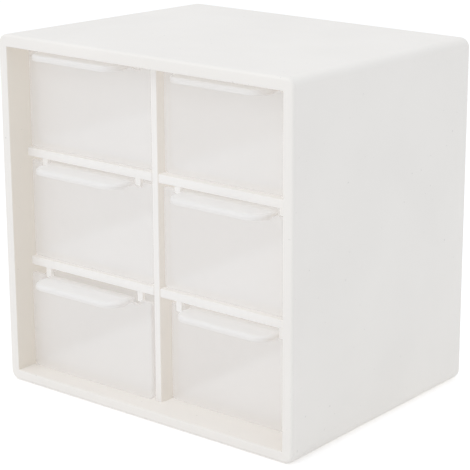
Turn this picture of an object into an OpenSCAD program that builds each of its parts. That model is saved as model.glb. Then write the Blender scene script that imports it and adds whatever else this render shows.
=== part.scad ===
// Desktop drawer tower: an open-fronted white casing with two columns of three
// frosted drawers, a slot-together lattice and a snap-in back panel.
// Millimetres, +Z up, front towards -Y. The origin is the middle of the base.

/* [Casing] */
// Depth of the casing, front rim to rear rim
case_d = 133; // [120:1:170]
// Thickness of the side walls at the front rim
side_wall = 5.3; // [4.8:0.1:7]
// Thickness of the top wall at the front rim
top_wall = 5.6; // [4.8:0.1:7]
// Thickness of the floor
floor_t = 5.1; // [4:0.1:8]
// How much narrower each side is at the rear, the mould draft
side_draft = 2.2; // [0:0.1:2.6]
// How much lower the top is at the rear, the mould draft
top_draft = 2.4; // [0:0.1:2.6]
// Corner radius of the casing seen from the front
corner_r = 4.5; // [2:0.5:6]
// Rounding of the front rim's outer edge
front_edge_r = 1.4; // [0.4:0.1:2]
// Rounding of the rear rim's outer edge
rear_edge_r = 2.2; // [0.4:0.1:2.4]

/* [Bays] */
// Clear width of one column of drawers
bay_w = 77; // [60:1:100]
// Clear height of the middle and top rows
row_h = 48.2; // [30:0.1:70]
// How much higher the bottom row is
bottom_row_extra = 1.6; // [0:0.1:4]
// Set-back of the lattice's front edges behind the rim
lattice_setback = 10.7; // [4:0.1:14]
// Set-back of the closed drawers' fronts behind the lattice's front edges
drawer_setback = 6.3; // [3.3:0.1:9]

/* [Lattice] */
// Thickness of the centre divider
divider_t = 3.5; // [2.5:0.1:5]
// Thickness of the two shelves
shelf_t = 4; // [2.5:0.1:5]
// Depth of the grooves in the casing that hold the lattice
groove_depth = 1.4; // [0.8:0.1:1.5]
// Play of a lattice plate in its groove or slot
groove_play = 0.2; // [0.1:0.05:0.4]
// Length of the plain nose in front of a plate's tongue
nose_l = 3; // [2:0.5:8]

/* [Drawer stops] */
// Distance between the end of a lip handle and the notch beside it
notch_spacing = 0.2; // [0.1:0.1:2]
// Width of a stop tab
tab_w = 3; // [2:0.1:3.2]
// Thickness of a stop tab, front to back
tab_t = 1.6; // [1:0.1:2]
// Set-back of the stop tabs behind the lattice's front edges
tab_setback = 1.6; // [0:0.1:1.8]
// How far a tab reaches below the top of a drawer
tab_catch = 1.7; // [1:0.1:3]
// Gap left between a tab and the drawer's back wall at full travel
stop_gap = 0.3; // [0.1:0.1:1]

/* [Back panel] */
// Thickness of the back panel
panel_t = 2.2; // [1.6:0.1:4]
// Set-back of the back panel inside the rear rim
panel_setback = 3.3; // [2.8:0.1:6]
// Play around the sides and top of the back panel
panel_play = 0.2; // [0.1:0.05:0.5]
// Width of the back panel's raised border
border_w = 9; // [5:0.5:20]
// Depth of the sunk field inside that border
field_depth = 0.8; // [0.2:0.1:1]
// Height of the snap ridges that hold the back panel in
ridge_h = 0.8; // [0.4:0.1:1.2]
// Length of each snap ridge
ridge_l = 16; // [8:1:30]

/* [Drawers] */
// Gap above a drawer in the middle and top rows
head_gap = 1.8; // [1:0.1:4]
// Gap at each side of a drawer's front
front_gap = 0.8; // [0.4:0.1:1.5]
// Thickness of a drawer's front
front_t = 2; // [1.4:0.1:3]
// How far the tray's sides stand inside the ends of its front
tray_inset = 0.8; // [0.2:0.1:1.2]
// Thickness of the tray's side walls and back wall
tray_wall = 1.6; // [1:0.1:2]
// Thickness of the tray's floor
tray_floor = 1.6; // [1:0.1:3]
// How far the tray's side walls stand below its front
side_drop = 2.4; // [0:0.1:10]
// Radius of the front's lower corners
front_corner_r = 2.5; // [0.5:0.1:5]
// Radius of the tray's rear corners
tray_corner_r = 4; // [2:0.5:8]
// Gap between a closed drawer and the back panel
rear_gap = 0.2; // [0.1:0.1:1]
// Play around a stop tab as it passes through the front's notch
notch_play = 0.8; // [0.4:0.1:0.8]

/* [Lip handles] */
// Width of the lip handle
lip_w = 52.5; // [30:0.5:57]
// How far the lip stands out from the drawer's front
lip_d = 13.5; // [10:0.1:14.5]
// Corner radius of the lip
lip_r = 8; // [3:0.5:9]
// Thickness of the lip's plate
lip_t = 1.6; // [1.2:0.1:2.4]
// Height of the turned-down edge, plate included
skirt_h = 2.6; // [2.6:0.1:6]
// Thickness of the turned-down edge
skirt_t = 1.6; // [1.2:0.1:2.4]
// Distance from the drawer's front to the ends of the turned-down edge
skirt_end = 5.2; // [1:0.1:5.6]

/* [Pose] */
// How far the top left drawer stands open at rest
top_left_pull = 4.5; // [0:0.5:60]
// How far the top right drawer stands open at rest
top_right_pull = 3; // [0:0.5:60]
// How far the middle left drawer stands open at rest
middle_left_pull = 4.5; // [0:0.5:60]
// How far the middle right drawer stands open at rest
middle_right_pull = 4; // [0:0.5:60]
// How far the bottom left drawer stands open at rest
bottom_left_pull = 7; // [0:0.5:60]

/* [Hidden] */

// Overlap of cutting shapes past the faces that they cut
cut = 1;
// Thickness of the thin slices that the casing's outside is hulled from
slice = 0.01;
// Smallest radius that a rounded corner shrinks to inside a wall
least_r = 0.3;

// Casing, worked out from the bays
bottom_row_h = row_h + bottom_row_extra;
inner_w = 2 * bay_w + divider_t;
inner_h = bottom_row_h + 2 * row_h + 2 * shelf_t;
case_w = inner_w + 2 * side_wall;
case_h = floor_t + inner_h + top_wall;
ceiling_z = floor_t + inner_h;
front_y = -case_d / 2;
rear_y = case_d / 2;

// Where the rows stand: the drawers rest on these three levels
lower_shelf_z = floor_t + bottom_row_h;
upper_shelf_z = lower_shelf_z + shelf_t + row_h;
bottom_row_z = floor_t;
middle_row_z = lower_shelf_z + shelf_t;
top_row_z = upper_shelf_z + shelf_t;

// Front to back
lattice_y = front_y + lattice_setback;
panel_y = rear_y - panel_setback - panel_t;
lattice_l = panel_y - lattice_y;
lap_y = lattice_y + lattice_l / 2;
drawer_y = lattice_y + drawer_setback;
drawer_l = panel_y - rear_gap - drawer_y;
tab_y = lattice_y + tab_setback;

// Side to side
bay_x = (bay_w + divider_t) / 2;
drawer_w = bay_w - 2 * front_gap;
tray_w = drawer_w - 2 * tray_inset;
tongue = groove_depth - groove_play;

// Drawers: the same height in every row, with an inner corner radius that keeps the wall even
drawer_h = row_h - head_gap;
tray_inner_r = max(tray_corner_r - tray_wall, least_r);

// The front's notches stand beside the lip and let the stop tabs through
notch_w = tab_w + 2 * notch_play;
notch_depth = tab_catch + notch_play;
tab_x = lip_w / 2 + notch_spacing + notch_w / 2;

// Travel of a drawer from closed until its back wall meets the stop tabs
travel = panel_y - rear_gap - tray_wall - (tab_y + tab_t) - stop_gap;
echo(case_size = [case_w, case_d, case_h], travel = travel);

// A slice of the casing's outside, shrunk by inset, at depth y
module casing_slice(y, inset) {
    share = (y - front_y) / case_d;
    half_w = case_w / 2 - side_draft * share - inset;
    top_z = case_h - top_draft * share - inset;
    r = max(corner_r - inset, least_r);
    for (x = [-half_w + r, half_w - r], z = [inset + r, top_z - r])
        translate([x, y, z])
            rotate([90, 0, 0])
                cylinder(r = r, h = slice, center = true, $fn = 32);
}

// The rounded, drafted block that the casing is hollowed from
module casing_block() {
    hull() {
        for (a = [0, 30, 60, 90]) {
            casing_slice(front_y + front_edge_r * (1 - sin(a)) + slice, front_edge_r * (1 - cos(a)));
            casing_slice(rear_y - rear_edge_r * (1 - sin(a)) - slice, rear_edge_r * (1 - cos(a)));
        }
    }
}

// Grooves for a shelf in both side walls
module shelf_grooves(z) {
    translate([-inner_w / 2 - groove_depth, lattice_y + nose_l, z])
        cube([inner_w + 2 * groove_depth, panel_y - lattice_y - nose_l, shelf_t + groove_play]);
}

// Grooves for the divider in the floor and the ceiling
module divider_grooves() {
    translate([-divider_t / 2 - groove_play / 2, lattice_y + nose_l, floor_t - groove_depth])
        cube([divider_t + groove_play, panel_y - lattice_y - nose_l, inner_h + 2 * groove_depth]);
}

// Two stop tabs for one bay, hanging from z down to the drawer's catch line
module stop_tabs(column, z, row_z) {
    tab_bottom = row_z + drawer_h - tab_catch;
    for (side = [-1, 1])
        translate([column * bay_x + side * tab_x - tab_w / 2, tab_y, tab_bottom])
            cube([tab_w, tab_t, z - tab_bottom + slice]);
}

// A wedge on one side wall, behind the back panel
module snap_ridge(side, z) {
    y = panel_y + panel_t;
    translate([side * inner_w / 2, 0, z - ridge_l / 2])
        linear_extrude(height = ridge_l)
            polygon([
                [side * slice, y],
                [-side * ridge_h, y],
                [side * slice, y + 2 * ridge_h]
            ]);
}

module casing() {
    color("white") {
        difference() {
            casing_block();
            translate([-inner_w / 2, front_y - cut, floor_t])
                cube([inner_w, case_d + 2 * cut, inner_h]);
            shelf_grooves(lower_shelf_z);
            shelf_grooves(upper_shelf_z);
            divider_grooves();
        }
        for (column = [-1, 1])
            stop_tabs(column, ceiling_z, top_row_z);
        for (side = [-1, 1], z = [middle_row_z, upper_shelf_z])
            snap_ridge(side, z);
    }
}

module back_panel() {
    w = inner_w - 2 * panel_play;
    h = inner_h - panel_play;
    color("whitesmoke")
        difference() {
            translate([-w / 2, panel_y, floor_t])
                cube([w, panel_t, h]);
            translate([-w / 2 + border_w, panel_y + panel_t - field_depth, floor_t + border_w])
                cube([w - 2 * border_w, field_depth + cut, h - 2 * border_w]);
        }
}

// The divider is one plate with a slot behind lap_y for each shelf
module centre_divider() {
    color("white")
        difference() {
            union() {
                translate([-divider_t / 2, lattice_y, floor_t])
                    cube([divider_t, lattice_l, inner_h - groove_play]);
                translate([-divider_t / 2, lattice_y + nose_l, floor_t - groove_depth])
                    cube([divider_t, lattice_l - nose_l, inner_h + groove_depth + tongue]);
            }
            for (z = [lower_shelf_z, upper_shelf_z])
                translate([-divider_t / 2 - cut, lap_y, z])
                    cube([divider_t + 2 * cut, lattice_l, shelf_t + groove_play]);
        }
}

// A shelf is one plate with a slot before lap_y that straddles the divider
module shelf(z, row_below_z) {
    w = inner_w - 2 * groove_play;
    color("white") {
        difference() {
            union() {
                translate([-w / 2, lattice_y, z])
                    cube([w, lattice_l, shelf_t]);
                translate([-inner_w / 2 - tongue, lattice_y + nose_l, z])
                    cube([inner_w + 2 * tongue, lattice_l - nose_l, shelf_t]);
            }
            translate([-(divider_t + groove_play) / 2, lattice_y - cut, z - cut])
                cube([divider_t + groove_play, lap_y - lattice_y + cut, shelf_t + 2 * cut]);
        }
        for (column = [-1, 1])
            stop_tabs(column, z, row_below_z);
    }
}

module upper_shelf() {
    shelf(upper_shelf_z, middle_row_z);
}

module lower_shelf() {
    shelf(lower_shelf_z, bottom_row_z);
}

// Plan of a plate of width w from y = 0 to y = d, its corners at y = 0 rounded by r
module tongue_plan(w, d, r) {
    translate([-w / 2, r])
        square([w, d - r]);
    translate([-w / 2 + r, 0])
        square([w - 2 * r, d]);
    for (x = [-w / 2 + r, w / 2 - r])
        translate([x, r])
            circle(r = r, $fn = 48);
}

// The drawer's front plate, seen from the front, with its two notches
module front_face() {
    difference() {
        tongue_plan(drawer_w, drawer_h, front_corner_r);
        for (side = [-1, 1])
            translate([side * tab_x - notch_w / 2, drawer_h - notch_depth])
                square([notch_w, notch_depth + cut]);
    }
}

// Lip handle: a plate with a turned-down edge round its front
module lip() {
    translate([0, -lip_d, drawer_h - lip_t])
        linear_extrude(height = lip_t)
            tongue_plan(lip_w, lip_d, lip_r);
    translate([0, -lip_d, drawer_h - skirt_h])
        linear_extrude(height = skirt_h)
            difference() {
                tongue_plan(lip_w, lip_d, lip_r);
                translate([0, skirt_t])
                    tongue_plan(lip_w - 2 * skirt_t, lip_d, lip_r - skirt_t);
                translate([-lip_w / 2 - cut, lip_d - skirt_end])
                    square([lip_w + 2 * cut, skirt_end + cut]);
            }
}

// One drawer: front plate, tray and lip in one moulding, front face at y = 0
module drawer_body() {
    translate([0, front_t, 0])
        rotate([90, 0, 0])
            linear_extrude(height = front_t)
                front_face();
    difference() {
        translate([0, drawer_l, 0])
            mirror([0, 1, 0])
                linear_extrude(height = drawer_h)
                    tongue_plan(tray_w, drawer_l - front_t, tray_corner_r);
        translate([0, drawer_l - tray_wall, tray_floor])
            mirror([0, 1, 0])
                linear_extrude(height = drawer_h)
                    tongue_plan(
                        tray_w - 2 * tray_wall,
                        drawer_l - front_t - tray_wall + cut,
                        tray_inner_r
                    );
        translate([-tray_w / 2 - cut, front_t, drawer_h - side_drop])
            cube([tray_w + 2 * cut, drawer_l - front_t - tray_corner_r, side_drop + cut]);
    }
    lip();
}

// A drawer in its bay, pulled out by pull
module drawer(column, row_z, pull = 0) {
    color([0.88, 0.88, 0.87])
        translate([column * bay_x, drawer_y - pull, row_z])
            drawer_body();
}

module drawer_top_left() {
    drawer(-1, top_row_z, top_left_pull);
}

module drawer_top_right() {
    drawer(1, top_row_z, top_right_pull);
}

module drawer_middle_left() {
    drawer(-1, middle_row_z, middle_left_pull);
}

module drawer_middle_right() {
    drawer(1, middle_row_z, middle_right_pull);
}

module drawer_bottom_left() {
    drawer(-1, bottom_row_z, bottom_left_pull);
}

module drawer_bottom_right() {
    drawer(1, bottom_row_z);
}

casing();
back_panel();
centre_divider();
upper_shelf();
lower_shelf();
drawer_top_left();
drawer_top_right();
drawer_middle_left();
drawer_middle_right();
drawer_bottom_left();
drawer_bottom_right();
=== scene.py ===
import math

import bmesh
import bpy
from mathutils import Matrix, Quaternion, Vector


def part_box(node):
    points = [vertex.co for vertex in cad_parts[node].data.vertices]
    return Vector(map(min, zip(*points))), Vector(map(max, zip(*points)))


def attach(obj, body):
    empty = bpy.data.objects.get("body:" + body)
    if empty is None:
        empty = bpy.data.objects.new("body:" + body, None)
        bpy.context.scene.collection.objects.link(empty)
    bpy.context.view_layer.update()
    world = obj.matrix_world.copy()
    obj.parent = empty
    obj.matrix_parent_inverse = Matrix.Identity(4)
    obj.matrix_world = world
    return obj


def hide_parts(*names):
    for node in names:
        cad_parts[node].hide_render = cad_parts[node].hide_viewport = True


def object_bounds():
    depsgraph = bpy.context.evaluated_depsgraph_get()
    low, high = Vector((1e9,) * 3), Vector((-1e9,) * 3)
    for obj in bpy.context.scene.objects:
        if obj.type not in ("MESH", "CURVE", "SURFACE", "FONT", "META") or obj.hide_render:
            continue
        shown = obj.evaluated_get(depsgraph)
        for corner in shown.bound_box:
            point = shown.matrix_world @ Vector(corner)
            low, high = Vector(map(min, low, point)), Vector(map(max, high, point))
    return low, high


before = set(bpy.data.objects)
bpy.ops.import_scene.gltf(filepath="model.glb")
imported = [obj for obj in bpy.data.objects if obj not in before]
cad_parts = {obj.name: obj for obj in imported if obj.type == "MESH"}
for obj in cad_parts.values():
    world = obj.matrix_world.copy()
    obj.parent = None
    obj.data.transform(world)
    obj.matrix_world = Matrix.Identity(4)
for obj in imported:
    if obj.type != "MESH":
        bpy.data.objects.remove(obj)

cad_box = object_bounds()

# ---------------------------------------------------------------------------- casing
# The outer sleeve: one thick-walled moulding in warm white satin plastic, with a rounded rim all round and
# a little mould draft towards the rear. Grooves inside take the lattice, four tabs under its ceiling stop the
# top drawers, and two ridges at each side snap over the back panel.
mm = 0.001
casing_low, casing_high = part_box("casing")
case_half_w = casing_high.x
case_h = casing_high.z
rim_y = casing_low.y
rear_y = casing_high.y
side_wall = 5.3 * mm
top_wall = 5.6 * mm
floor_t = 5.1 * mm
side_draft = 2.2 * mm
top_draft = 2.4 * mm
corner_r = 4.5 * mm
corner_steps = 10
rim_edge_r = 1.4 * mm
rear_edge_r = 2.2 * mm
mouth_edge_r = 0.4 * mm
mouth_corner_r = 0.3 * mm
bay_half_w = case_half_w - side_wall
ceiling_z = case_h - top_wall

panel_low, panel_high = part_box("back_panel")
divider_low, divider_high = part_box("centre_divider")
lattice_y = divider_low.y
shelf_t = 4 * mm
groove_depth = 1.4 * mm
groove_play = 0.2 * mm
nose_l = 3 * mm
shelf_tops = [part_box("lower_shelf")[1].z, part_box("upper_shelf")[1].z]

tab_w = 3 * mm
tab_t = 1.6 * mm
tab_setback = 1.6 * mm
tab_corner_r = 0.5 * mm
tab_root = 1 * mm

ridge_h = 0.8 * mm
ridge_l = 16 * mm
past = 1 * mm
merge_within = 0.001 * mm
sharp_from = math.radians(32)


def corner_points(x, z, radius, start, steps):
    """Points of a quarter circle about (x, z), from the angle start, anticlockwise."""
    turns = [math.radians(start + 90 * step / steps) for step in range(steps + 1)]
    return [(x + radius * math.cos(turn), z + radius * math.sin(turn)) for turn in turns]


def rounded_outline(half_w, low, high, low_r, high_r, steps):
    """An upright rectangle with rounded corners, anticlockwise seen from the front."""
    return (
        corner_points(half_w - low_r, low + low_r, low_r, -90, steps)
        + corner_points(half_w - high_r, high - high_r, high_r, 0, steps)
        + corner_points(-half_w + high_r, high - high_r, high_r, 90, steps)
        + corner_points(-half_w + low_r, low + low_r, low_r, 180, steps)
    )


def linked(name, mesh):
    """A new object in the scene that shows this mesh."""
    made = bpy.data.objects.new(name, mesh)
    bpy.context.scene.collection.objects.link(made)
    return made


def stacked_solid(name, rings):
    """A closed solid through rings of as many points each, flat at both ends."""
    shape = bmesh.new()
    loops = [[shape.verts.new(point) for point in ring] for ring in rings]
    count = len(rings[0])
    for near, far in zip(loops, loops[1:]):
        for i in range(count):
            j = (i + 1) % count
            shape.faces.new((near[i], near[j], far[j], far[i]))
    shape.faces.new(loops[0])
    shape.faces.new(loops[-1])
    bmesh.ops.remove_doubles(shape, verts=shape.verts, dist=merge_within)
    bmesh.ops.recalc_face_normals(shape, faces=shape.faces)
    mesh = bpy.data.meshes.new(name)
    shape.to_mesh(mesh)
    shape.free()
    return linked(name, mesh)


def block(name, low, high):
    """A plain block between two corners, to cut with."""
    ring = [(low[0], low[1]), (high[0], low[1]), (high[0], high[1]), (low[0], high[1])]
    return stacked_solid(name, [[(x, y, z) for x, y in ring] for z in (low[2], high[2])])


def settled(piece):
    """The piece as a plain mesh, with its modifiers worked into it."""
    depsgraph = bpy.context.evaluated_depsgraph_get()
    mesh = bpy.data.meshes.new_from_object(piece.evaluated_get(depsgraph))
    piece.modifiers.clear()
    piece.data = mesh
    return piece


def combined(piece, operation, *tools):
    """The piece after tools are cut from it or joined to it. The tools are used up."""
    for tool in tools:
        step = piece.modifiers.new(operation.lower(), "BOOLEAN")
        step.operation = operation
        step.solver = "EXACT"
        step.object = tool
    settled(piece)
    for tool in tools:
        bpy.data.objects.remove(tool)
    return piece


def shaded(piece):
    """Soft edges shade smoothly, flat faces stay flat, and true corners stay sharp."""
    piece.data.shade_smooth()
    piece.data.set_sharp_from_angle(angle=sharp_from)
    weights = piece.modifiers.new("face_weights", "WEIGHTED_NORMAL")
    weights.keep_sharp = True
    weights.weight = 100
    return settled(piece)


def casing_ring(y, inset):
    """The casing's outline at y, which shrinks a little to the rear by the mould draft."""
    share = (y - rim_y) / (rear_y - rim_y)
    half_w = case_half_w - side_draft * share - inset
    top = case_h - top_draft * share - inset
    radius = corner_r - inset
    outline = rounded_outline(half_w, inset, top, radius, radius, corner_steps)
    return [(x, y, z) for x, z in outline]


def edge_steps(radius, steps=6):
    """(how far in, how far along) pairs round a quarter of an edge of this radius."""
    turns = [math.radians(90 * step / steps) for step in range(steps + 1)]
    return [(radius * (1 - math.sin(turn)), radius * (1 - math.cos(turn))) for turn in turns]


def mouth_ring(y, flare):
    """The opening's outline at y, wider by flare where its edge is rounded."""
    half_w = bay_half_w + flare
    low = floor_t - flare
    high = ceiling_z + flare
    outline = rounded_outline(half_w, low, high, mouth_corner_r, mouth_corner_r, 2)
    return [(x, y, z) for x, z in outline]


casing_rings = [casing_ring(rim_y + along, inset) for inset, along in edge_steps(rim_edge_r)]
casing_rings += [casing_ring(rear_y - along, inset) for inset, along in reversed(edge_steps(rear_edge_r))]
casing = stacked_solid("casing_shell", casing_rings)

mouth_steps = edge_steps(mouth_edge_r, 4)
mouth_rings = [mouth_ring(rim_y - past, mouth_edge_r)]
mouth_rings += [mouth_ring(rim_y + along, flare) for flare, along in mouth_steps]
mouth_rings += [mouth_ring(rear_y - along, flare) for flare, along in reversed(mouth_steps)]
mouth_rings += [mouth_ring(rear_y + past, mouth_edge_r)]
cuts = [stacked_solid("mouth", mouth_rings)]
groove_y = lattice_y + nose_l
for top in shelf_tops:
    groove_low = (-bay_half_w - groove_depth, groove_y, top - shelf_t)
    groove_high = (bay_half_w + groove_depth, panel_low.y, top + groove_play)
    cuts.append(block("shelf_groove", groove_low, groove_high))
groove_low = (divider_low.x - groove_play / 2, groove_y, floor_t - groove_depth)
groove_high = (divider_high.x + groove_play / 2, panel_low.y, ceiling_z + groove_depth)
cuts.append(block("divider_groove", groove_low, groove_high))
combined(casing, "DIFFERENCE", *cuts)


def stop_tab_tree():
    """Geometry nodes that hang four stop tabs, a pair for each column of drawers."""
    tree = bpy.data.node_groups.new("stop_tabs", "GeometryNodeTree")
    sockets = {}
    lengths = ("Tab width", "Tab thickness", "Tab length", "Corner radius")
    places = ("Tab middle", "Column middle", "Front", "Root")
    for name in lengths + places + ("Plastic",):
        kind = "NodeSocketMaterial" if name == "Plastic" else "NodeSocketFloat"
        socket = tree.interface.new_socket(name, in_out="INPUT", socket_type=kind)
        sockets[name] = socket.identifier
    tree.interface.new_socket("Tabs", in_out="OUTPUT", socket_type="NodeSocketGeometry")
    given = tree.nodes.new("NodeGroupInput").outputs
    add = tree.nodes.new
    link = tree.links.new

    face = add("GeometryNodeCurvePrimitiveQuadrilateral")
    link(given["Tab width"], face.inputs["Width"])
    link(given["Tab length"], face.inputs["Height"])
    soft = add("GeometryNodeFilletCurve")
    soft.mode = "POLY"
    soft.inputs["Count"].default_value = 4
    link(face.outputs["Curve"], soft.inputs["Curve"])
    link(given["Corner radius"], soft.inputs["Radius"])
    filled = add("GeometryNodeFillCurve")
    filled.mode = "NGONS"
    link(soft.outputs["Curve"], filled.inputs["Curve"])
    thick = add("GeometryNodeExtrudeMesh")
    thick.inputs["Individual"].default_value = False
    link(filled.outputs["Mesh"], thick.inputs["Mesh"])
    link(given["Tab thickness"], thick.inputs["Offset Scale"])
    back = add("GeometryNodeFlipFaces")
    link(filled.outputs["Mesh"], back.inputs["Mesh"])
    tab = add("GeometryNodeJoinGeometry")
    link(back.outputs["Mesh"], tab.inputs["Geometry"])
    link(thick.outputs["Mesh"], tab.inputs["Geometry"])
    sealed = add("GeometryNodeMergeByDistance")
    sealed.inputs["Distance"].default_value = merge_within
    link(tab.outputs["Geometry"], sealed.inputs["Geometry"])

    def pair(middle):
        """Two points, one at each side of the middle."""
        start = add("ShaderNodeMath")
        start.operation = "MULTIPLY"
        start.inputs[1].default_value = -1
        link(middle, start.inputs[0])
        start_point = add("ShaderNodeCombineXYZ")
        link(start.outputs[0], start_point.inputs["X"])
        end_point = add("ShaderNodeCombineXYZ")
        link(middle, end_point.inputs["X"])
        line = add("GeometryNodeMeshLine")
        line.mode = "END_POINTS"
        line.inputs["Count"].default_value = 2
        link(start_point.outputs[0], line.inputs["Start Location"])
        link(end_point.outputs[0], line.inputs["Offset"])
        return line.outputs["Mesh"]

    tabs = add("GeometryNodeInstanceOnPoints")
    link(pair(given["Tab middle"]), tabs.inputs["Points"])
    link(sealed.outputs["Geometry"], tabs.inputs["Instance"])
    tabs.inputs["Rotation"].default_value = (math.radians(90), 0, 0)
    columns = add("GeometryNodeInstanceOnPoints")
    link(pair(given["Column middle"]), columns.inputs["Points"])
    link(tabs.outputs["Instances"], columns.inputs["Instance"])

    # The tab's back lies on its own flat face, and its middle is half its length below the root
    depth = add("ShaderNodeMath")
    link(given["Front"], depth.inputs[0])
    link(given["Tab thickness"], depth.inputs[1])
    half_length = add("ShaderNodeMath")
    half_length.operation = "MULTIPLY"
    half_length.inputs[1].default_value = 0.5
    link(given["Tab length"], half_length.inputs[0])
    height = add("ShaderNodeMath")
    height.operation = "SUBTRACT"
    link(given["Root"], height.inputs[0])
    link(half_length.outputs[0], height.inputs[1])
    place = add("ShaderNodeCombineXYZ")
    link(depth.outputs[0], place.inputs["Y"])
    link(height.outputs[0], place.inputs["Z"])
    hung = add("GeometryNodeTransform")
    link(columns.outputs["Instances"], hung.inputs["Geometry"])
    link(place.outputs[0], hung.inputs["Translation"])
    real = add("GeometryNodeRealizeInstances")
    link(hung.outputs["Geometry"], real.inputs["Geometry"])
    finish = add("GeometryNodeSetMaterial")
    link(real.outputs["Geometry"], finish.inputs["Geometry"])
    link(given["Plastic"], finish.inputs["Material"])
    link(finish.outputs["Geometry"], add("NodeGroupOutput").inputs["Tabs"])
    return tree, sockets


tab_tree, tab_sockets = stop_tab_tree()
lip_w = 52.5 * mm
notch_spacing = 0.2 * mm
notch_play = 0.8 * mm
tab_catch = 1.7 * mm
tab_x = lip_w / 2 + notch_spacing + tab_w / 2 + notch_play


def stop_tabs(root_z, drawer_node, plastic):
    """Four stop tabs that hang from root_z over the fronts of one row of drawers."""
    drawer_low, drawer_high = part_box(drawer_node)
    root = root_z + tab_root
    column_x = (drawer_low.x + drawer_high.x) / 2
    tabs = linked("stop_tabs", bpy.data.meshes.new("stop_tabs"))
    growth = tabs.modifiers.new("tabs", "NODES")
    growth.node_group = tab_tree
    sizes = {
        "Tab width": tab_w,
        "Tab thickness": tab_t,
        "Tab length": root - (drawer_high.z - tab_catch),
        "Corner radius": tab_corner_r,
        "Tab middle": tab_x,
        "Column middle": column_x,
        "Front": lattice_y + tab_setback,
        "Root": root,
        "Plastic": plastic,
    }
    for name, size in sizes.items():
        growth[tab_sockets[name]] = size
    return settled(tabs)


full_share_y = rim_y + 50 * mm
foot_h = 18 * mm
foot_share = 0.3
plastic_ior = 1.49
flow_scale = 22
speck_scale = 520
scuff_scale = 60
etch_scale = 2600
sink_scale = 28
etch_depth = 0.02 * mm
sink_depth = 0.25 * mm
satin_low, satin_high = 0.36, 0.46


def let_light_through(tree, shader, share, rear_share, tint):
    """Light on its way to another surface passes this plastic in part, and takes its tint.

    Where the two shares differ, more light passes behind the rim, and less at the foot. The shares,
    the rise and the drop were fitted to the photograph's levels, and aren't measured.
    """
    rays = tree.nodes.new("ShaderNodeLightPath")
    clear = tree.nodes.new("ShaderNodeBsdfTransparent")
    clear.inputs["Color"].default_value = (*tint, 1)
    milky = tree.nodes.new("ShaderNodeMixShader")
    milky.inputs["Fac"].default_value = share
    if rear_share != share:
        place = tree.nodes.new("ShaderNodeTexCoord")
        along = tree.nodes.new("ShaderNodeSeparateXYZ")
        rising = tree.nodes.new("ShaderNodeMapRange")
        rising.inputs["From Min"].default_value = rim_y
        rising.inputs["From Max"].default_value = full_share_y
        rising.inputs["To Min"].default_value = share
        rising.inputs["To Max"].default_value = rear_share
        tree.links.new(place.outputs["Object"], along.inputs["Vector"])
        tree.links.new(along.outputs["Y"], rising.inputs["Value"])
        footed = tree.nodes.new("ShaderNodeMapRange")
        footed.inputs["From Max"].default_value = foot_h
        footed.inputs["To Min"].default_value = foot_share
        tree.links.new(along.outputs["Z"], footed.inputs["Value"])
        passed = tree.nodes.new("ShaderNodeMath")
        passed.operation = "MULTIPLY"
        tree.links.new(rising.outputs["Result"], passed.inputs[0])
        tree.links.new(footed.outputs["Result"], passed.inputs[1])
        tree.links.new(passed.outputs[0], milky.inputs["Fac"])
    tree.links.new(shader.outputs["BSDF"], milky.inputs[1])
    tree.links.new(clear.outputs["BSDF"], milky.inputs[2])
    surface = shader.outputs["BSDF"]
    for kind in ("Is Diffuse Ray", "Is Shadow Ray"):
        choice = tree.nodes.new("ShaderNodeMixShader")
        tree.links.new(rays.outputs[kind], choice.inputs["Fac"])
        tree.links.new(surface, choice.inputs[1])
        tree.links.new(milky.outputs["Shader"], choice.inputs[2])
        surface = choice.outputs["Shader"]
    tree.links.new(surface, tree.nodes["Material Output"].inputs["Surface"])


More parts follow.
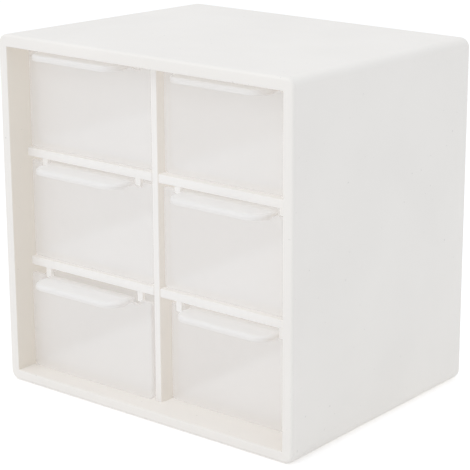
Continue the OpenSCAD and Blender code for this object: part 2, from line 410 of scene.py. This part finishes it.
def white_plastic(name, colour, share, rear_share, tint):
    """Satin white plastic: a fine etched mould texture, faint flow marks, scuffs and a few specks."""
    plastic = bpy.data.materials.new(name)
    plastic.use_nodes = True
    tree = plastic.node_tree
    shader = tree.nodes["Principled BSDF"]
    shader.inputs["IOR"].default_value = plastic_ior
    add = tree.nodes.new
    link = tree.links.new
    place = add("ShaderNodeTexCoord").outputs["Object"]

    def noise(scale, detail, roughness=0.5):
        """A noise pattern of this scale over the piece."""
        pattern = add("ShaderNodeTexNoise")
        pattern.inputs["Scale"].default_value = scale
        pattern.inputs["Detail"].default_value = detail
        pattern.inputs["Roughness"].default_value = roughness
        link(place, pattern.inputs["Vector"])
        return pattern.outputs["Fac"]

    def remapped(value, low, high, to_low, to_high):
        """The value, with low to high spread over to_low to to_high."""
        spread = add("ShaderNodeMapRange")
        spread.inputs["From Min"].default_value = low
        spread.inputs["From Max"].default_value = high
        spread.inputs["To Min"].default_value = to_low
        spread.inputs["To Max"].default_value = to_high
        link(value, spread.inputs["Value"])
        return spread.outputs["Result"]

    def blended(amount, one, other):
        """A colour between two others, each a tuple or a socket."""
        mix = add("ShaderNodeMix")
        mix.data_type = "RGBA"
        link(amount, mix.inputs["Factor"])
        for socket, shade in ((mix.inputs["A"], one), (mix.inputs["B"], other)):
            if isinstance(shade, tuple):
                socket.default_value = (*shade, 1)
            else:
                link(shade, socket)
        return mix.outputs["Result"]

    paler = tuple(channel * 1.012 for channel in colour)
    deeper = tuple(channel * 0.982 for channel in colour)
    flow = remapped(noise(flow_scale, 3), 0.3, 0.7, 0, 1)
    speck = remapped(noise(speck_scale, 1), 0.775, 0.8, 0, 0.5)
    grey = tuple(channel * 0.72 for channel in colour)
    shade = blended(speck, blended(flow, paler, deeper), grey)
    link(shade, shader.inputs["Base Color"])
    scuffs = remapped(noise(scuff_scale, 5, 0.65), 0.3, 0.7, satin_low, satin_high)
    link(scuffs, shader.inputs["Roughness"])
    etched = add("ShaderNodeBump")
    etched.inputs["Strength"].default_value = 0.35
    etched.inputs["Distance"].default_value = etch_depth
    link(noise(etch_scale, 2), etched.inputs["Height"])
    sink = add("ShaderNodeBump")
    sink.inputs["Strength"].default_value = 0.5
    sink.inputs["Distance"].default_value = sink_depth
    link(noise(sink_scale, 1), sink.inputs["Height"])
    link(etched.outputs["Normal"], sink.inputs["Normal"])
    link(sink.outputs["Normal"], shader.inputs["Normal"])
    let_light_through(tree, shader, share, rear_share, tint)
    return plastic


casing_colour = (0.955, 0.923, 0.886)
casing_tint = (1, 0.985, 0.965)
casing_white = white_plastic("casing_white", casing_colour, 0.4, 0.98, casing_tint)
casing.data.materials.append(casing_white)
top_row_tabs = stop_tabs(ceiling_z, "drawer_top_right", casing_white)
ridges = []
for side in (-1, 1):
    for top in shelf_tops:
        root = side * (bay_half_w + past)
        wedge = [
            (root, panel_high.y),
            (side * (bay_half_w - ridge_h), panel_high.y),
            (side * bay_half_w, panel_high.y + 2 * ridge_h),
            (root, panel_high.y + 2 * ridge_h),
        ]
        levels = (top - ridge_l / 2, top + ridge_l / 2)
        ridges.append(stacked_solid("snap_ridge", [[(x, y, z) for x, y in wedge] for z in levels]))
combined(casing, "UNION", top_row_tabs, *ridges)
shaded(casing)


def paint_shade_inside(moulding, plastic, from_x, to_x, tone):
    """Upright faces between two distances from the middle get a slightly darker, yellower base colour:
    painted shade for the warm shade on these inner faces.

    It is fitted to the photograph's darker inner faces, and isn't a second plastic or known wear.
    """
    inside = moulding.data.attributes.new("inside", "FLOAT", "FACE")
    values = []
    for face in moulding.data.polygons:
        upright = abs(face.normal.x) > 0.7
        within = from_x < abs(face.center.x) < to_x and face.center.z < ceiling_z
        values.append(float(upright and within))
    inside.data.foreach_set("value", values)
    tree = plastic.node_tree
    base = tree.nodes["Principled BSDF"].inputs["Base Color"]
    share = tree.nodes.new("ShaderNodeAttribute")
    share.attribute_name = "inside"
    toned = tree.nodes.new("ShaderNodeMix")
    toned.data_type = "RGBA"
    toned.blend_type = "MULTIPLY"
    toned.inputs["B"].default_value = (*tone, 1)
    tree.links.new(share.outputs["Fac"], toned.inputs["Factor"])
    tree.links.new(base.links[0].from_socket, toned.inputs["A"])
    tree.links.new(toned.outputs["Result"], base)


wall_middle = case_half_w - side_wall / 2
# Painted shade: the casing's inner side walls are darkened and warmed in colour, as the shade in the recess
# would do.
casing_wall_painted_shade = (0.955, 0.932, 0.89)
paint_shade_inside(casing, casing_white, bay_half_w - ridge_h, wall_middle, casing_wall_painted_shade)
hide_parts("casing")
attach(casing, "casing")

# ---------------------------------------------------------------------------- centre divider
# The upright plate between the columns, moulded in the same white plastic. It slides into the casing from
# behind, in grooves in the floor and the ceiling, and its two slots half-lap over the shelves.
plate_edge_r = 0.45 * mm
lap_y = (divider_low.y + divider_high.y) / 2
# The lattice's colour is a little paler than the casing's: partly painted light, making up for the light its
# recessed faces miss.
lattice_colour_with_painted_light = (0.978, 0.952, 0.925)
plate_tint = (1, 0.995, 0.99)
lattice_white = white_plastic("lattice_white", lattice_colour_with_painted_light, 0.97, 0.97, plate_tint)


def moulded_plate(name, faces, plastic):
    """A plate between two like outlines, with softened edges."""
    plate = stacked_solid(name, faces)
    shape = bmesh.new()
    shape.from_mesh(plate.data)
    bmesh.ops.bevel(
        shape, geom=shape.edges[:], offset=plate_edge_r, segments=3, profile=0.5, affect="EDGES"
    )
    shape.to_mesh(plate.data)
    shape.free()
    plate.data.materials.append(plastic)
    return plate


def divider_outline():
    """The plate seen from the side: a short nose in front, tongues top and bottom, two slots from behind."""
    front, rear = divider_low.y, divider_high.y
    tongue_y = front + nose_l
    tongue_low, tongue_high = divider_low.z, divider_high.z
    low, high = floor_t, ceiling_z - groove_play
    outline = [(front, low), (front, high), (tongue_y, high), (tongue_y, tongue_high), (rear, tongue_high)]
    for top in reversed(shelf_tops):
        slot_low, slot_high = top - shelf_t, top + groove_play
        outline += [(rear, slot_high), (lap_y, slot_high), (lap_y, slot_low), (rear, slot_low)]
    return outline + [(rear, tongue_low), (tongue_y, tongue_low), (tongue_y, low)]


# Painted shade: the divider's upright sides are darkened and warmed in colour, as the shade beside the
# drawers would do.
divider_side_painted_shade = (0.985, 0.96, 0.925)
divider_faces = [[(x, y, z) for y, z in divider_outline()] for x in (divider_low.x, divider_high.x)]
divider = moulded_plate("divider_plate", divider_faces, lattice_white)
shaded(divider)
paint_shade_inside(divider, lattice_white, divider_high.x / 2, divider_high.x * 2, divider_side_painted_shade)
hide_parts("centre_divider")
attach(divider, "casing")

# ---------------------------------------------------------------------------- shelves
# Two level plates that carry the upper rows. Each slides into grooves in the casing's sides and straddles the
# divider with a slot in its front half. Four tabs in one piece with it hang over the drawers below.
drawers_below = {"upper_shelf": "drawer_middle_right", "lower_shelf": "drawer_bottom_right"}
for shelf_node, drawer_below in drawers_below.items():
    shelf_low, shelf_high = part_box(shelf_node)
    tongue_x = shelf_high.x
    nose_x = bay_half_w - groove_play
    slot_x = divider_high.x + groove_play / 2
    front, rear = shelf_low.y, shelf_high.y
    tongue_y = front + nose_l
    right_half = [(slot_x, lap_y), (slot_x, front), (nose_x, front), (nose_x, tongue_y)]
    right_half += [(tongue_x, tongue_y), (tongue_x, rear)]
    outline = right_half + [(-x, y) for x, y in reversed(right_half)]
    underside = shelf_high.z - shelf_t
    faces = [[(x, y, z) for x, y in outline] for z in (underside, shelf_high.z)]
    shelf = moulded_plate(shelf_node + "_plate", faces, lattice_white)
    combined(shelf, "UNION", stop_tabs(underside, drawer_below, lattice_white))
    shaded(shelf)
    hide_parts(shelf_node)
    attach(shelf, "casing")

# ---------------------------------------------------------------------------- back panel
# The rear cover: a thin moulded plate with a raised border round a sunk field. It goes in last, locks the
# lattice in its grooves, and is held by the casing's four snap ridges.
panel_border = 9 * mm
field_depth = 0.8 * mm
panel_edge_r = 0.5 * mm
field_slope = 0.6 * mm
panel_corner_r = 0.6 * mm
panel_colour = (0.94, 0.912, 0.88)
panel_white = white_plastic("back_panel_white", panel_colour, 0.93, 0.93, plate_tint)


def panel_ring(y, inset):
    """The panel's outline at y."""
    half_w = panel_high.x - inset
    low, high = panel_low.z + inset, panel_high.z - inset
    outline = rounded_outline(half_w, low, high, panel_corner_r, panel_corner_r, 3)
    return [(x, y, z) for x, z in outline]


panel_steps = edge_steps(panel_edge_r, 3)
panel_rings = [panel_ring(panel_low.y + along, inset) for inset, along in panel_steps]
panel_rings += [panel_ring(panel_high.y - along, inset) for inset, along in reversed(panel_steps)]
panel_rings += [panel_ring(panel_high.y, panel_border)]
panel_rings += [panel_ring(panel_high.y - field_depth, panel_border + field_slope)]
panel = stacked_solid("rear_cover", panel_rings)
panel.data.materials.append(panel_white)
shaded(panel)
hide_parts("back_panel")
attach(panel, "casing")

# ---------------------------------------------------------------------------- drawers
# Six like drawers, each one moulding in frosted, milky plastic: an open tray, a front plate with two notches
# that let the stop tabs through, and a rolled lip along its top to pull by.
first_low, first_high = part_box("drawer_top_left")
lip_d = 13.5 * mm
seat_gap = 0.1 * mm
drawer_h = first_high.z - first_low.z - seat_gap
drawer_l = first_high.y - first_low.y - lip_d
front_half_w = (first_high.x - first_low.x) / 2
front_t = 2 * mm
front_edge_r = 0.9 * mm
front_back_edge_r = 0.3 * mm
front_foot_r = 2.5 * mm
front_top_r = 1.2 * mm
front_lift = 0.1 * mm
front_sink = 0.03 * mm
tray_half_w = front_half_w - 0.8 * mm
tray_wall = 1.6 * mm
tray_floor = 1.6 * mm
tray_draft = 0.4 * mm
tray_corner_r = 4 * mm
tray_foot_r = 3 * mm
tray_fillet_r = 4 * mm
side_drop = 2.4 * mm
drop_slope = 2.5 * mm
brim_r = 0.4 * mm
notch_depth = tab_catch + notch_play
lip_t = 1.6 * mm
lip_r = 8 * mm
lip_roll_r = 1.6 * mm
skirt_h = 2.6 * mm
skirt_t = 1.6 * mm
skirt_end = 5.2 * mm
skirt_fade = 2 * mm
skirt_edge_r = 0.4 * mm
lip_fillet_r = 0.6 * mm
# Painted light: the lip's turned-down edge gets only this share of the paler, more opaque plastic of the
# lip's top, so the top reads as lit from above.
skirt_share_of_painted_top = 0.2
front_deeper = (0.9, 0.87, 0.85)
front_paler = (0.915, 0.888, 0.87)
tray_white = (0.98, 0.98, 0.984)
front_body = 0.46
tray_body = 0.72
cloud_scale = 30
grain_scale = 2200
grain_depth = 0.005 * mm
frost_low, frost_high = 0.29, 0.36


def tongue_ring(half_w, root_y, end_y, radius, stops, inset, root_inset, height):
    """A plan with a straight root side and two rounded corners at its end. height gives z from y."""
    way = 1 if end_y > root_y else -1
    corner = max(radius - inset, 0.1 * mm)
    x = half_w - inset
    y = end_y - way * inset
    bend_y = y - way * corner
    side = [(x, root_y + way * root_inset)] + [(x, way * min(way * stop, way * bend_y)) for stop in stops]
    arc = corner_points(x - corner, 0, corner, 0, 8)
    side += [(px, bend_y + way * pz) for px, pz in arc]
    plan = side + [(-px, py) for px, py in reversed(side)]
    return [(px, py, height(py)) for px, py in plan]


def tray_top(y):
    """The tray's brim is lower along its sides and rises to the back wall."""
    rise_end = drawer_l - tray_corner_r
    share = min(max((y - rise_end + drop_slope) / drop_slope, 0), 1)
    return drawer_h - side_drop * (1 - share)


def skirt_foot(y):
    """The turned-down edge fades out before it reaches the drawer's front."""
    share = min(max((y + skirt_end) / skirt_fade, 0), 1)
    return drawer_h - skirt_h + share * (skirt_h - lip_roll_r - skirt_edge_r)


def made_tray():
    """The open tray: a rounded foot, drafted walls, a rounded brim and a filleted inside."""
    root_y = front_t - tray_wall
    stops = [drawer_l - tray_corner_r - drop_slope, drawer_l - tray_corner_r - drop_slope / 2]

    def ring(inset, root_inset, height):
        """One ring of the tray's wall."""
        return tongue_ring(tray_half_w, root_y, drawer_l, tray_corner_r, stops, inset, root_inset, height)

    rings = []
    for inset, along in edge_steps(tray_foot_r, 5):
        rings.append(ring(tray_draft + inset, 0, lambda y, z=along: z))
    for inset, along in reversed(edge_steps(brim_r, 3)):
        rings.append(ring(inset, 0, lambda y, z=along: tray_top(y) - z))
    for inset, along in edge_steps(brim_r, 3):
        rings.append(ring(tray_wall - inset, tray_wall, lambda y, z=along: tray_top(y) - z))
    for inset, along in reversed(edge_steps(tray_fillet_r, 5)):
        rings.append(
            ring(
                tray_wall + tray_draft + inset,
                tray_wall + inset,
                lambda y, z=along: tray_floor + z,
            )
        )
    return stacked_solid("tray", rings)


def made_front():
    """The front plate, with soft front edges."""

    def ring(y, inset):
        """The plate's outline at y, with a flatter curve along its foot."""
        low = front_lift + inset / 3
        high = drawer_h - front_sink - inset
        outline = rounded_outline(
            front_half_w - inset, low, high, front_foot_r - inset, front_top_r - inset, 6
        )
        return [(x, y, z) for x, z in outline]

    rings = [ring(along, inset) for inset, along in edge_steps(front_edge_r, 5)]
    rings += [ring(front_t - along, inset) for inset, along in reversed(edge_steps(front_back_edge_r, 2))]
    return stacked_solid("front_plate", rings)


def made_lip():
    """The lip handle: a thin shelf along the top, with a turned-down edge that fades out near the front."""
    root_y = front_t / 2
    stops = [-skirt_end + skirt_fade, -skirt_end + skirt_fade / 2, -skirt_end]

    def ring(inset, height):
        """One ring of the lip, from its top over the turned-down edge to its underside."""
        return tongue_ring(lip_w / 2, root_y, -lip_d, lip_r, stops, inset, 0, height)

    rings = [ring(inset, lambda y, z=along: drawer_h - z) for inset, along in edge_steps(lip_roll_r, 6)]
    foot = edge_steps(skirt_edge_r, 3)
    rings += [ring(inset, lambda y, z=along: skirt_foot(y) + z) for inset, along in reversed(foot)]
    rings += [ring(skirt_t - inset, lambda y, z=along: skirt_foot(y) + z) for inset, along in foot]
    for inset, along in reversed(edge_steps(lip_fillet_r, 3)):
        rings.append(ring(skirt_t + inset, lambda y, z=along: drawer_h - lip_t - z))
    return stacked_solid("lip", rings)


def frosted_plastic():
    """Milky plastic that shows a faint view of what is behind it, clearest through the front plate."""
    plastic = bpy.data.materials.new("drawer_frosted")
    plastic.use_nodes = True
    tree = plastic.node_tree
    shader = tree.nodes["Principled BSDF"]
    shader.inputs["IOR"].default_value = plastic_ior
    add = tree.nodes.new
    link = tree.links.new
    place = add("ShaderNodeTexCoord").outputs["Object"]
    cloud = add("ShaderNodeTexNoise")
    cloud.inputs["Scale"].default_value = cloud_scale
    cloud.inputs["Detail"].default_value = 3
    link(place, cloud.inputs["Vector"])
    tint = add("ShaderNodeMix")
    tint.data_type = "RGBA"
    tint.inputs["A"].default_value = (*front_deeper, 1)
    tint.inputs["B"].default_value = (*front_paler, 1)
    link(cloud.outputs["Fac"], tint.inputs["Factor"])
    # The attribute read here makes the tray and the lip's top paler and less see-through than the front
    # plate; on the lip's top, against its turned-down edge, this is painted light from above.
    milk_and_lip_light = add("ShaderNodeAttribute")
    milk_and_lip_light.attribute_name = "milk_and_lip_light"
    paler = add("ShaderNodeMix")
    paler.data_type = "RGBA"
    paler.inputs["B"].default_value = (*tray_white, 1)
    link(milk_and_lip_light.outputs["Fac"], paler.inputs["Factor"])
    link(tint.outputs["Result"], paler.inputs["A"])
    link(paler.outputs["Result"], shader.inputs["Base Color"])
    body = add("ShaderNodeMapRange")
    body.inputs["To Min"].default_value = front_body
    body.inputs["To Max"].default_value = tray_body
    link(milk_and_lip_light.outputs["Fac"], body.inputs["Value"])
    link(body.outputs["Result"], shader.inputs["Alpha"])
    frost = add("ShaderNodeMapRange")
    frost.inputs["To Min"].default_value = frost_low
    frost.inputs["To Max"].default_value = frost_high
    link(cloud.outputs["Fac"], frost.inputs["Value"])
    link(frost.outputs["Result"], shader.inputs["Roughness"])
    grain = add("ShaderNodeTexNoise")
    grain.inputs["Scale"].default_value = grain_scale
    grain.inputs["Detail"].default_value = 2
    link(place, grain.inputs["Vector"])
    bump = add("ShaderNodeBump")
    bump.inputs["Strength"].default_value = 0.1
    bump.inputs["Distance"].default_value = grain_depth
    link(grain.outputs["Fac"], bump.inputs["Height"])
    link(bump.outputs["Normal"], shader.inputs["Normal"])
    let_light_through(tree, shader, 0.98, 0.98, (1, 1, 1))
    return plastic


def milkiness_and_lip_light(point):
    """0 in the front plate, 1 in the tray and the lip's top, and less in the lip's turned-down edge, so that
    the lip's top is painted paler and more opaque than its edge, as light from above would show it.
    """
    if point.y > 0:
        return min(max((point.y - front_t) / front_edge_r, 0), 1)
    height = min(max((point.z - drawer_h + lip_roll_r) / lip_roll_r, 0), 1)
    return min(-point.y / front_edge_r, 1) * (skirt_share_of_painted_top + (1 - skirt_share_of_painted_top) * height)


drawer_frosted = frosted_plastic()
moulding = made_front()
moulding.data.materials.append(drawer_frosted)
combined(moulding, "UNION", made_tray(), made_lip())
notches = []
half_notch = tab_w / 2 + notch_play
for side in (-1, 1):
    notch_low = (side * tab_x - half_notch, -past, drawer_h - notch_depth)
    notch_high = (side * tab_x + half_notch, front_t + past, drawer_h + past)
    notches.append(block("notch", notch_low, notch_high))
combined(moulding, "DIFFERENCE", *notches)
shaded(moulding)
milk_and_lip_light = moulding.data.attributes.new("milk_and_lip_light", "FLOAT", "POINT")
milk_and_lip_light.data.foreach_set("value", [milkiness_and_lip_light(vertex.co) for vertex in moulding.data.vertices])
for row in ("top", "middle", "bottom"):
    for column in ("left", "right"):
        drawer_node = f"drawer_{row}_{column}"
        low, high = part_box(drawer_node)
        drawer = linked(f"{row}_{column}_moulding", moulding.data.copy())
        shift = Vector(((low.x + high.x) / 2, low.y + lip_d, low.z + seat_gap))
        for vertex in drawer.data.vertices:
            vertex.co += shift
        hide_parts(drawer_node)
        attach(drawer, drawer_node)
bpy.data.objects.remove(moulding)

# ---------------------------------------------------------------------------- studio
# A plain pale floor under a white studio sky, with two large soft lamps, and the camera at the photograph's
# viewing angle. The floor keeps the casing's soft shadow.
floor_half = 6
floor_grey = 0.85
floor_lift = 0.35
sky_colour = (0.96, 0.98, 1)
sky_strength = 0.83
floor_level = cad_box[0][2]
floor_signs = ((-1, -1), (1, -1), (1, 1), (-1, 1))
floor_corners = [(x * floor_half, y * floor_half, floor_level) for x, y in floor_signs]
floor_mesh = bpy.data.meshes.new("studio_floor")
floor_mesh.from_pydata(floor_corners, [], [(0, 1, 2, 3)])
floor = linked("studio_floor", floor_mesh)


def floor_paint():
    """Matt white, with a lift for the camera alone, so that the floor meets the white sky."""
    paint = bpy.data.materials.new("floor_white")
    paint.use_nodes = True
    tree = paint.node_tree
    matt = tree.nodes["Principled BSDF"]
    matt.inputs["Base Color"].default_value = (floor_grey, floor_grey, floor_grey, 1)
    matt.inputs["Roughness"].default_value = 0.9
    lift = tree.nodes.new("ShaderNodeEmission")
    lift.inputs["Strength"].default_value = floor_lift
    lifted = tree.nodes.new("ShaderNodeAddShader")
    tree.links.new(matt.outputs[0], lifted.inputs[0])
    tree.links.new(lift.outputs[0], lifted.inputs[1])
    choice = tree.nodes.new("ShaderNodeMixShader")
    tree.links.new(seen_directly(tree), choice.inputs[0])
    tree.links.new(matt.outputs[0], choice.inputs[1])
    tree.links.new(lifted.outputs[0], choice.inputs[2])
    tree.links.new(choice.outputs[0], tree.nodes["Material Output"].inputs[0])
    return paint


def seen_directly(tree):
    """1 for what the camera, a reflection or the see-through plastic shows, and 0 for light."""
    rays = tree.nodes.new("ShaderNodeLightPath")
    total = rays.outputs["Is Camera Ray"]
    for kind in ("Is Glossy Ray", "Is Transmission Ray"):
        joined = tree.nodes.new("ShaderNodeMath")
        joined.operation = "MAXIMUM"
        tree.links.new(total, joined.inputs[0])
        tree.links.new(rays.outputs[kind], joined.inputs[1])
        total = joined.outputs[0]
    return total


floor_mesh.materials.append(floor_paint())

sky = bpy.data.worlds.new("studio_sky")
bpy.context.scene.world = sky
sky.use_nodes = True
sky_tree = sky.node_tree
sky_light = sky_tree.nodes["Background"]
sky_light.inputs["Color"].default_value = (*sky_colour, 1)
sky_light.inputs["Strength"].default_value = sky_strength
sky_shown = sky_tree.nodes.new("ShaderNodeBackground")
sky_shown.inputs["Strength"].default_value = 1
sky_choice = sky_tree.nodes.new("ShaderNodeMixShader")
sky_tree.links.new(seen_directly(sky_tree), sky_choice.inputs[0])
sky_tree.links.new(sky_light.outputs[0], sky_choice.inputs[1])
sky_tree.links.new(sky_shown.outputs[0], sky_choice.inputs[2])
sky_tree.links.new(sky_choice.outputs[0], sky_tree.nodes["World Output"].inputs[0])

lamp_aim = Vector((0, 0, 0.08))


def soft_lamp(name, place, size, power, colour):
    """A square lamp that points at the cabinet."""
    lamp = bpy.data.lights.new(name, "AREA")
    lamp.shape = "SQUARE"
    lamp.size = size
    lamp.energy = power
    lamp.color = colour
    holder = bpy.data.objects.new(name, lamp)
    holder.location = place
    holder.rotation_mode = "QUATERNION"
    holder.rotation_quaternion = (lamp_aim - Vector(place)).to_track_quat("-Z", "Y")
    bpy.context.scene.collection.objects.link(holder)


soft_lamp("key_lamp", place=(-0.7, -1.5, 1.3), size=1.0, power=5.5, colour=(1, 0.97, 0.95))
soft_lamp("top_lamp", place=(0.2, 0.1, 1.9), size=1.2, power=2, colour=(0.8, 0.9, 1))

camera_place = (0.5172, -0.6285, 0.3075)
view_azimuth, view_elevation, view_roll = (math.radians(angle) for angle in (39.51, 16.23, -0.24))
camera_lens = bpy.data.cameras.new("camera")
camera_lens.lens = 140.4
camera = bpy.data.objects.new("camera", camera_lens)
bpy.context.scene.collection.objects.link(camera)
level = math.cos(view_elevation)
back = Vector((math.sin(view_azimuth) * level, -math.cos(view_azimuth) * level, math.sin(view_elevation)))
camera.location = camera_place
camera.rotation_mode = "QUATERNION"
camera.rotation_quaternion = (-back).to_track_quat("-Z", "Y") @ Quaternion((0, 0, 1), view_roll)
bpy.context.scene.camera = camera
bpy.context.scene.view_settings.view_transform = "Standard"
bpy.context.scene.cycles.transparent_max_bounces = 40
bpy.context.scene.cycles.max_bounces = 16
bpy.context.scene.cycles.diffuse_bounces = 10
